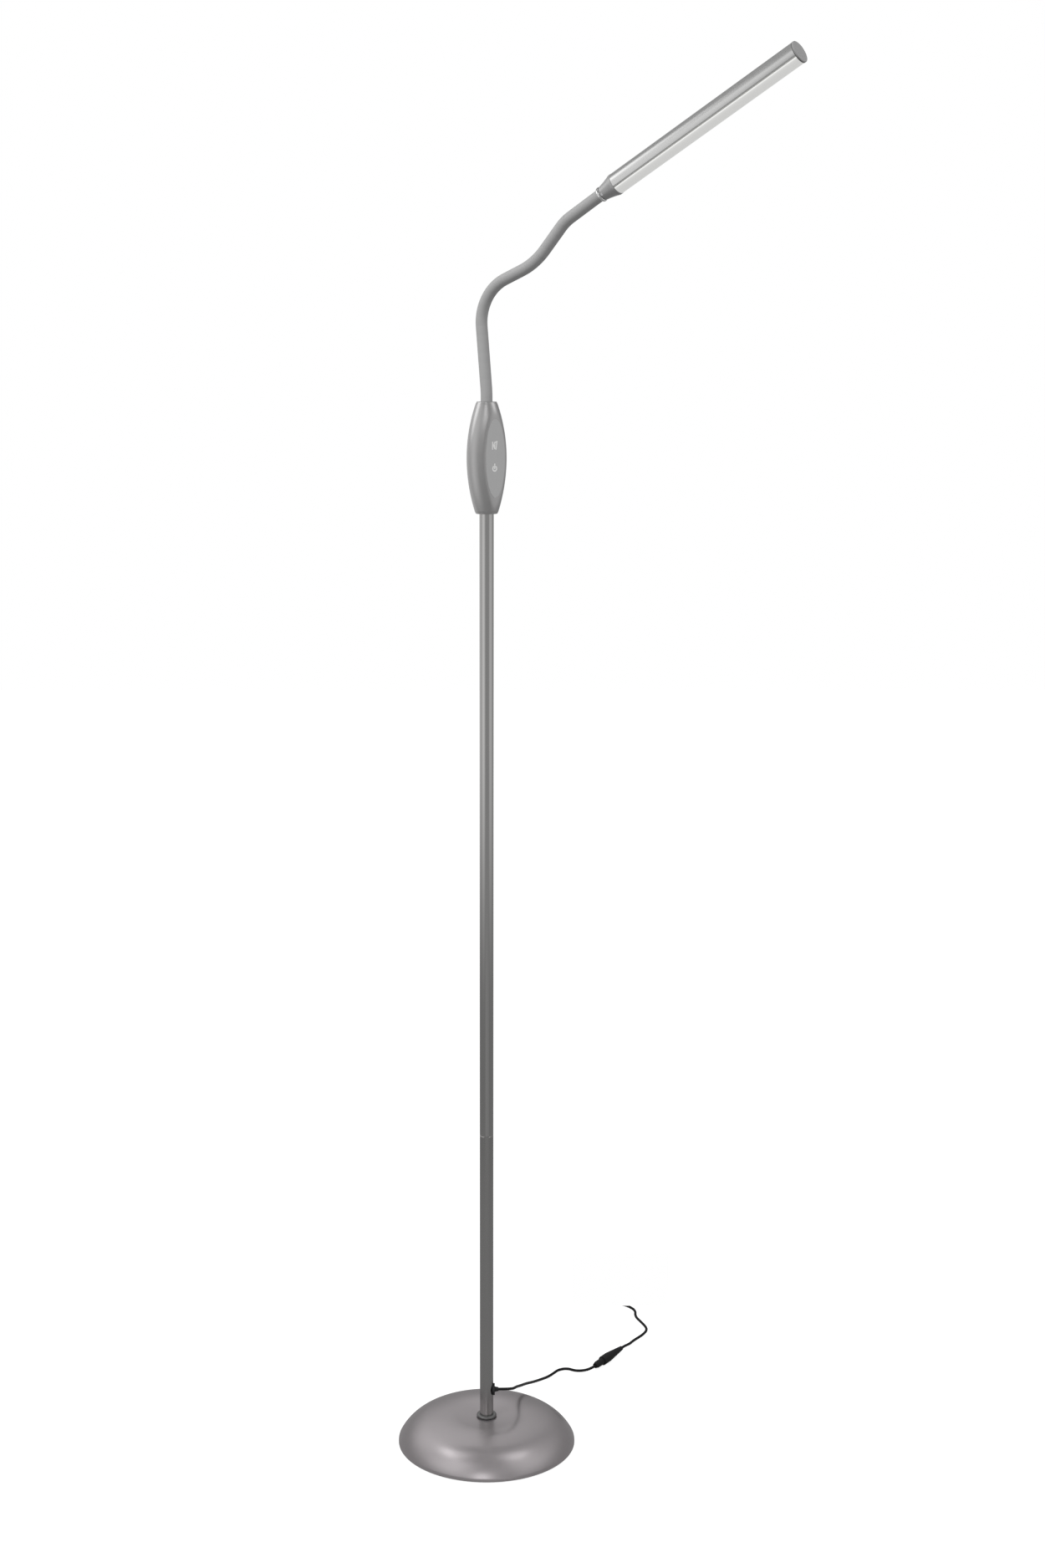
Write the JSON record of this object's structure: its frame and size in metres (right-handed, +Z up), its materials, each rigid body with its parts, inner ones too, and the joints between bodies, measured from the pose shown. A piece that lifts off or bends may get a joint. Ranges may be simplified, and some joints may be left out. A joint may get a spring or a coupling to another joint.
{
  "type": "gooseneck reading floor lamp",
  "caption": "Slim floor lamp with a weighted dome base, a screwed tube pole, a touch control housing, a bendable neck and a long tubular light head on a low voltage lead.",
  "frame": {"origin": "On the floor, on the pole's axis, at the middle of the base pad's underside.", "axes": "+X to the right in the picture, +Y away from the camera, +Z up along the pole. The neck and head lean out to the front right."},
  "size_m": [0.4202, 0.6971, 1.5861],
  "materials": {
    "base_paint": "satin warm grey paint",
    "weight_iron": "rough casting",
    "plate_steel": "zinc plated sheet",
    "pad_rubber": "soft matte foam rubber",
    "fastener_steel": "zinc plated",
    "trim_chrome": "polished chrome",
    "pole_steel": "satin nickel plate",
    "coupler_steel": "machined, plain",
    "grommet_rubber": "black, moulded",
    "housing_plastic": "silver grey paint on moulded plastic",
    "panel_plastic": "silver grey, semi gloss, white symbols",
    "board_laminate": "green circuit board",
    "spring_steel": "plated sensing springs",
    "bush_nylon": "moulded nylon",
    "neck_core_steel": "wound steel strip",
    "neck_rubber": "matte grey silicone sleeve",
    "ferrule_metal": "satin grey paint on turned metal",
    "shell_aluminium": "satin anodised extrusion",
    "diffuser_plastic": "frosted white, lets light through",
    "light_board": "white coated aluminium board",
    "light_chips": "phosphor coated chips",
    "cap_plastic": "grey moulded plastic",
    "cord_vinyl": "black flexible jacket",
    "connector_plastic": "black moulded plastic",
    "blade_metal": "nickel plated brass"
  },
  "bodies": {
    "stand": {"base_cover": "base_paint", "base_weight": "weight_iron", "base_plate": "plate_steel", "base_pad": "pad_rubber", "base_screws": "fastener_steel", "pole_bolt": "fastener_steel", "bolt_washer": "fastener_steel", "housing_screws": "fastener_steel", "board_screws": "fastener_steel", "pole_collar": "trim_chrome", "pole_lower": "pole_steel", "pole_upper": "pole_steel", "pole_coupler": "coupler_steel", "pole_socket": "coupler_steel", "pole_foot_plug": "coupler_steel", "pole_outlet": "grommet_rubber", "housing_front": "housing_plastic", "housing_rear": "housing_plastic", "touch_panel": "panel_plastic", "control_board": "board_laminate", "key_springs": "spring_steel", "lower_bush": "bush_nylon", "upper_bush": "bush_nylon", "neck_core_0": "neck_core_steel", "pole_lead": "cord_vinyl", "outlet_lead": "cord_vinyl", "supply_lead": "cord_vinyl", "cord_coil": "cord_vinyl", "dc_jack": "connector_plastic", "dc_plug": "connector_plastic", "adapter_relief": "connector_plastic", "wall_adapter": "connector_plastic", "adapter_blades": "blade_metal"},
    "neck_1": {"neck_core_1": "neck_core_steel", "neck_sleeve_1": "neck_rubber"},
    "neck_2": {"neck_core_2": "neck_core_steel", "neck_sleeve_2": "neck_rubber"},
    "neck_3": {"neck_core_3": "neck_core_steel", "neck_sleeve_3": "neck_rubber"},
    "neck_4": {"neck_core_4": "neck_core_steel", "neck_sleeve_4": "neck_rubber"},
    "neck_5": {"neck_core_5": "neck_core_steel", "neck_sleeve_5": "neck_rubber"},
    "head": {"neck_core_6": "neck_core_steel", "neck_sleeve_6": "neck_rubber", "head_ferrule": "ferrule_metal", "ferrule_screw": "trim_chrome", "head_shell": "shell_aluminium", "head_diffuser": "diffuser_plastic", "led_board": "light_board", "led_chips": "light_chips", "end_cap": "cap_plastic"}
  },
  "joints": [
    {"name": "neck_bend_1", "type": "hinge", "parent": "stand", "child": "neck_1", "pos_m": [-0.00096, 0.00067, 1.25524], "axis": [0.5736, 0.8192, 0], "range_deg": [-35, 35], "deforming": ["neck_sleeve_1"]},
    {"name": "neck_bend_2", "type": "hinge", "parent": "neck_1", "child": "neck_2", "pos_m": [-0.00472, 0.00331, 1.30494], "axis": [-0.8157, 0.5711, -0.092], "range_deg": [-35, 35], "deforming": ["neck_sleeve_2"]},
    {"name": "neck_bend_3", "type": "hinge", "parent": "neck_2", "child": "neck_3", "pos_m": [0.00528, -0.00369, 1.35143], "axis": [0.5736, 0.8192, 0], "range_deg": [-35, 35], "deforming": ["neck_sleeve_3"]},
    {"name": "neck_bend_4", "type": "hinge", "parent": "neck_3", "child": "neck_4", "pos_m": [0.04123, -0.02887, 1.37425], "axis": [-0.3485, 0.244, 0.905], "range_deg": [-35, 35], "deforming": ["neck_sleeve_4"]},
    {"name": "neck_bend_5", "type": "hinge", "parent": "neck_4", "child": "neck_5", "pos_m": [0.07186, -0.05032, 1.40661], "axis": [0.5736, 0.8192, 0], "range_deg": [-35, 35], "deforming": ["neck_sleeve_5"]},
    {"name": "neck_bend_6", "type": "hinge", "parent": "neck_5", "child": "head", "pos_m": [0.10387, -0.07273, 1.4369], "axis": [-0.413, 0.2892, 0.8636], "range_deg": [-35, 35], "deforming": ["neck_sleeve_6"]}
  ]
}
